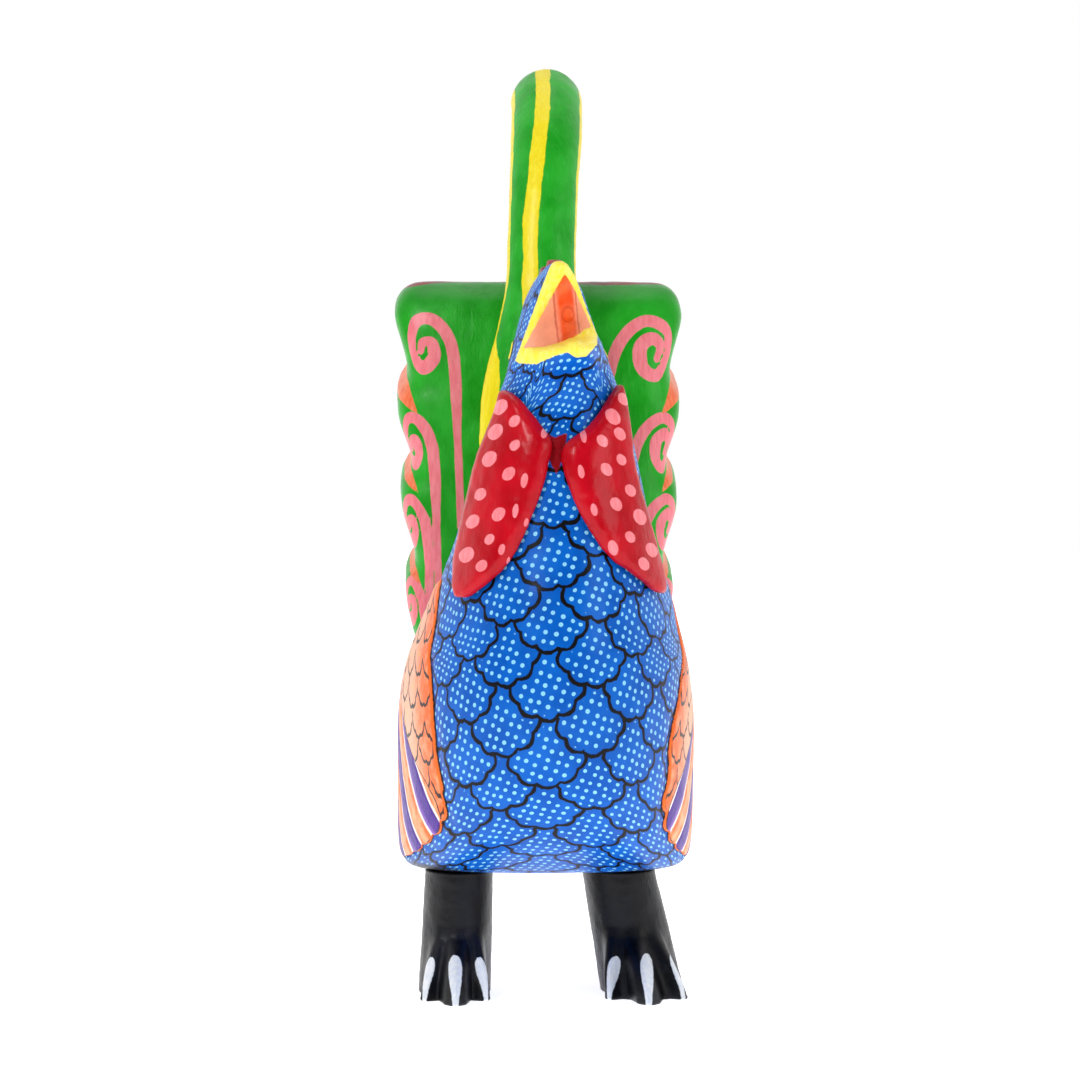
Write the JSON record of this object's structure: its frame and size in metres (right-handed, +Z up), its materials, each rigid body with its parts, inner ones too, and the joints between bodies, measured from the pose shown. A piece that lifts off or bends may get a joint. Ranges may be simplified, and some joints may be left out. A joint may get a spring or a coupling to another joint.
{
  "type": "alebrije rooster figure",
  "caption": "Free-standing carved and painted wooden rooster, crowing with an open beak, with hanging wattles, a lobed tail fan and a tall plug-in sickle feather.",
  "frame": {"origin": "on the ground, at the centre of the figure's bounding box in plan", "axes": "+Z up, the beak faces -Y, +X is to the right as seen from the front"},
  "size_m": [0.0854, 0.1824, 0.2657],
  "materials": {
    "blue_painted_wood": "acrylic paint, satin varnish",
    "dark_red_painted_wood": "acrylic paint, satin varnish",
    "red_painted_wood": "acrylic paint, satin varnish",
    "black_painted_wood": "acrylic paint, satin varnish",
    "green_painted_wood": "acrylic paint, satin varnish",
    "bare_wood": "raw turned dowel"
  },
  "bodies": {
    "figure": {"body_carving": "blue_painted_wood", "comb": "dark_red_painted_wood", "wattle_left": "red_painted_wood", "wattle_right": "red_painted_wood", "wattle_pins": "bare_wood", "leg_left": "black_painted_wood", "leg_right": "black_painted_wood", "leg_dowel_left": "bare_wood", "leg_dowel_right": "bare_wood", "tail_fan": "green_painted_wood", "tail_dowels": "bare_wood"},
    "feather": {"sickle_feather": "green_painted_wood", "sickle_peg": "bare_wood"}
  },
  "joints": [
    {"name": "feather_pull", "type": "slide", "parent": "figure", "child": "feather", "axis": [0, 0.1392, 0.9903], "range_m": [0, 0.025]}
  ]
}
